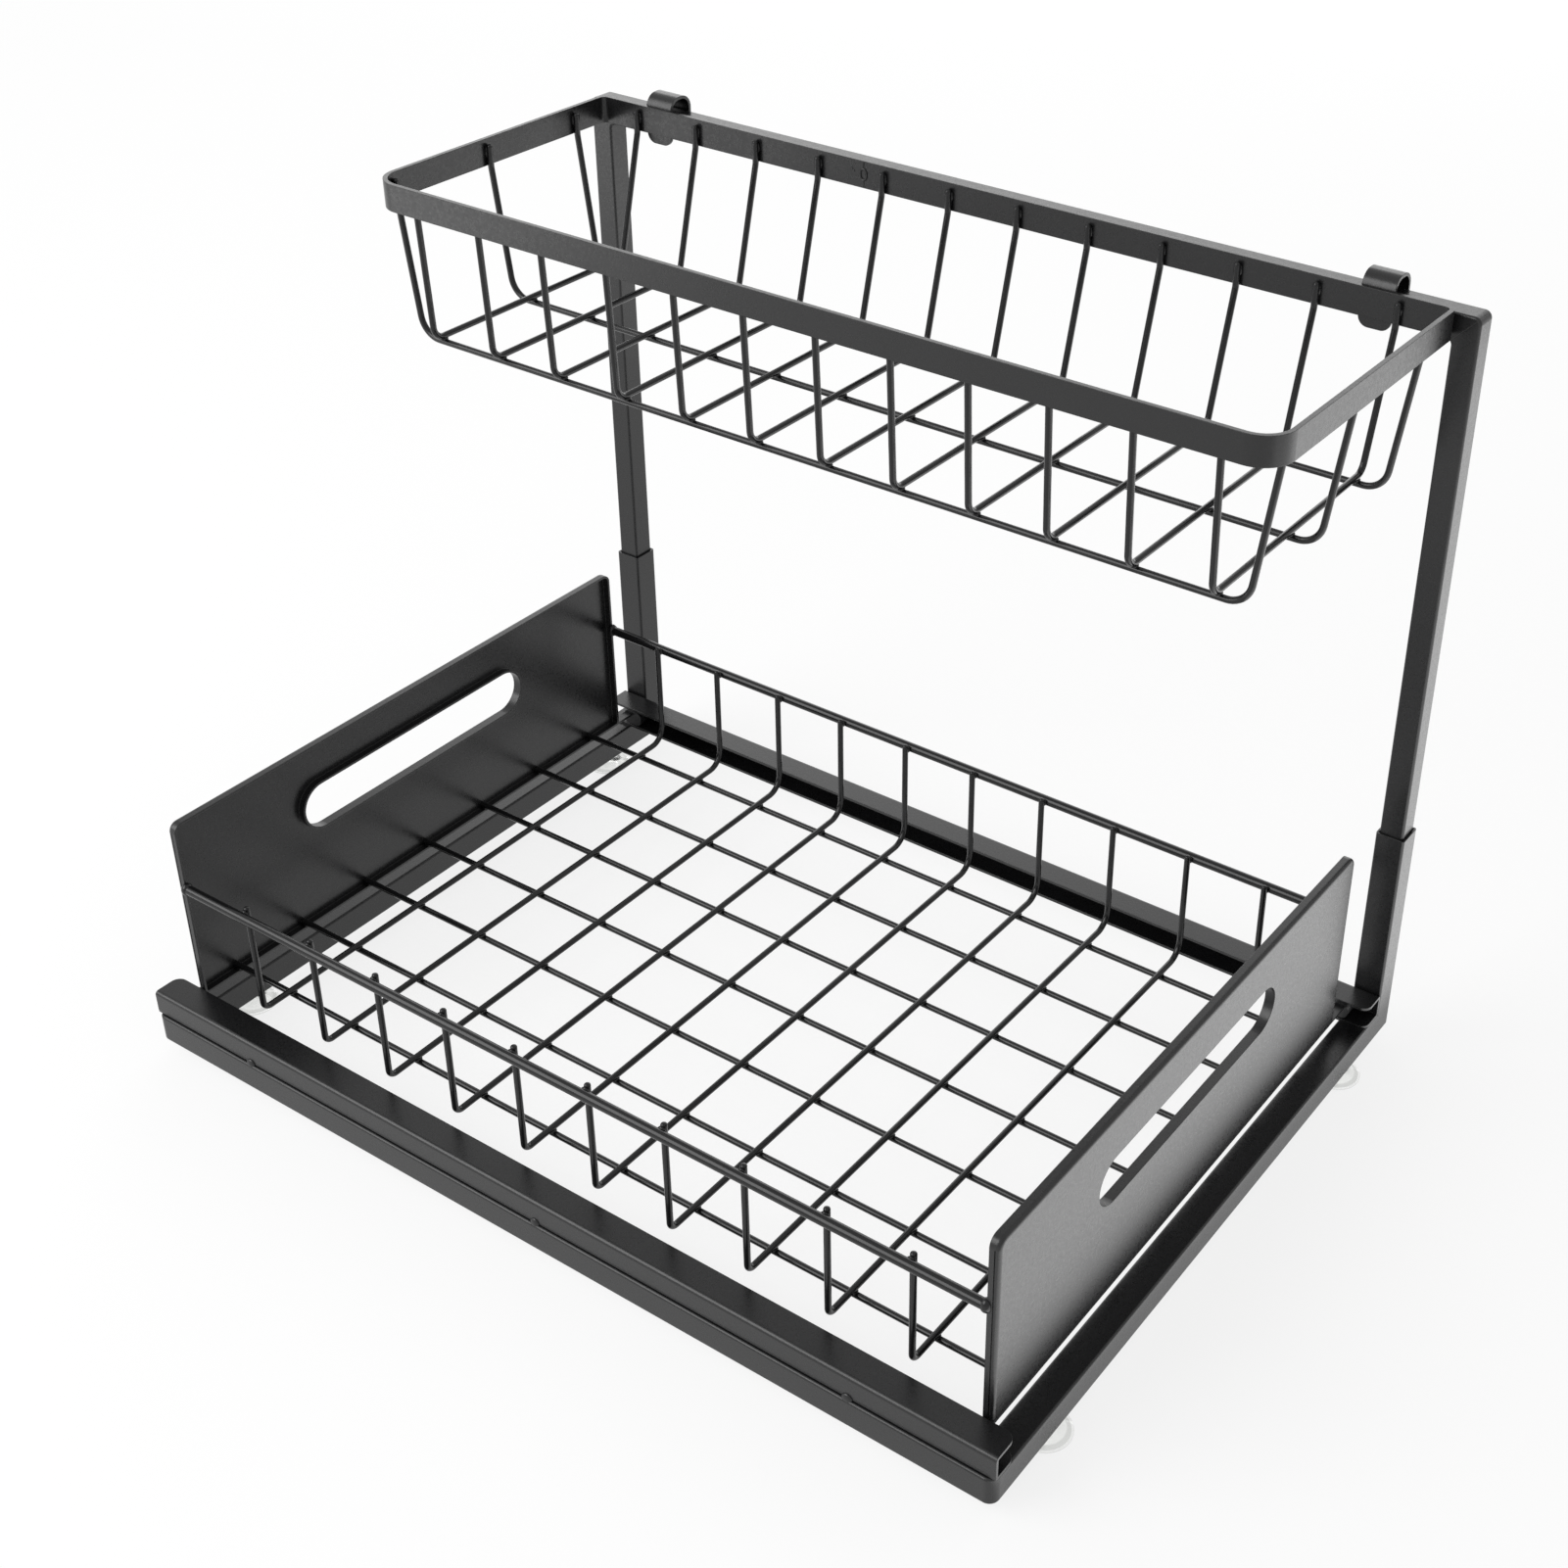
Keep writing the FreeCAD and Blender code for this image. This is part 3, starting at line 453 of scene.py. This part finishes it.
def seenAsWhite(tree):
    # 1 for rays that see, mirror or look through to the background, else 0
    path = addNode(tree, "ShaderNodeLightPath").outputs
    seen = path["Is Camera Ray"]
    for ray in "Is Glossy Ray", "Is Transmission Ray":
        seen = addNode(tree, "ShaderNodeMath", {0: seen, 1: path[ray]}, operation="MAXIMUM").outputs[0]
    return seen


def makeFloor(setup):
    half = setup["floorSide"] / 2
    mesh = bpy.data.meshes.new("studioFloor")
    corners = [(-half, -half, 0), (half, -half, 0), (half, half, 0), (-half, half, 0)]
    mesh.from_pydata(corners, [], [(0, 1, 2, 3)])
    floor = bpy.data.objects.new("studioFloor", mesh)
    bpy.context.scene.collection.objects.link(floor)
    material, tree = newMaterial("paleStudioFloor")
    share = addNode(tree, "ShaderNodeMath", {
        0: seenAsWhite(tree), 1: 1 - setup["shadowShare"]}, operation="MULTIPLY")
    matt = addNode(tree, "ShaderNodeBsdfDiffuse", {"Color": hexColour(setup["floorColour"])})
    white = addNode(tree, "ShaderNodeEmission", {"Strength": 1.0})
    mixed = addNode(tree, "ShaderNodeMixShader", {
        0: share.outputs[0], 1: matt.outputs[0], 2: white.outputs[0]})
    addNode(tree, "ShaderNodeOutputMaterial", {"Surface": mixed.outputs[0]})
    mesh.materials.append(material)


def makeWorld(setup):
    # white where it is seen, mirrored or seen through; it lights as a white tent, a little dimmer overhead
    world = bpy.data.worlds.new("studioRoom")
    bpy.context.scene.world = world
    world.use_nodes = True
    tree = world.node_tree
    tree.nodes.clear()
    way = addNode(tree, "ShaderNodeTexCoord").outputs["Generated"]
    height = addNode(tree, "ShaderNodeSeparateXYZ", {0: way}).outputs["Z"]
    fade = addNode(tree, "ShaderNodeMapRange", {
        "Value": height, "From Min": math.sin(math.radians(setup["skyBright"])),
        "From Max": math.sin(math.radians(setup["skyDark"])), "To Min": 1.0, "To Max": setup["above"]},
        interpolation_type="SMOOTHSTEP")
    strength = addNode(tree, "ShaderNodeMath", {
        0: fade.outputs["Result"], 1: seenAsWhite(tree)}, operation="MAXIMUM")
    room = addNode(tree, "ShaderNodeBackground", {"Strength": strength.outputs[0]})
    addNode(tree, "ShaderNodeOutputWorld", {"Surface": room.outputs[0]})


lampSetup = {
    # places and sizes in m, power in W; the two table lamps lie just above the floor and shine up
    "frontLeft": {"at": (-0.95, -1.35, 1.2), "aim": (0, 0, 0.15), "size": (1.5, 1.5), "power": 26},
    "back": {"at": (-0.9, 2.2, 0.9), "aim": (0, 0, 0.15), "size": (3.0, 1.5), "power": 18},
    "tableRight": {"at": (0.535, 0.35, 0.004), "aim": (0.535, 0.35, 1.0), "size": (0.65, 1.1), "power": 2.8},
    "tableLeft": {"at": (-0.93, -0.58, 0.004), "aim": (-0.93, -0.58, 1.0), "size": (0.55, 0.3), "power": 1.4},
}


def makeLamp(name, setup):
    data = bpy.data.lights.new(name, "AREA")
    data.shape = "RECTANGLE"
    data.size, data.size_y = setup["size"]
    data.energy = setup["power"]
    lamp = bpy.data.objects.new(name, data)
    lamp.location = setup["at"]
    lamp.rotation_mode = "QUATERNION"
    lamp.rotation_quaternion = (Vector(setup["aim"]) - lamp.location).to_track_quat("-Z", "Y")
    lamp.visible_camera = False
    bpy.context.scene.collection.objects.link(lamp)


makeFloor(stageSetup)
makeWorld(stageSetup)
for lampName, lamp in lampSetup.items():
    makeLamp(lampName, lamp)
bpy.context.scene.view_settings.view_transform = "Standard"
print("stage lit")
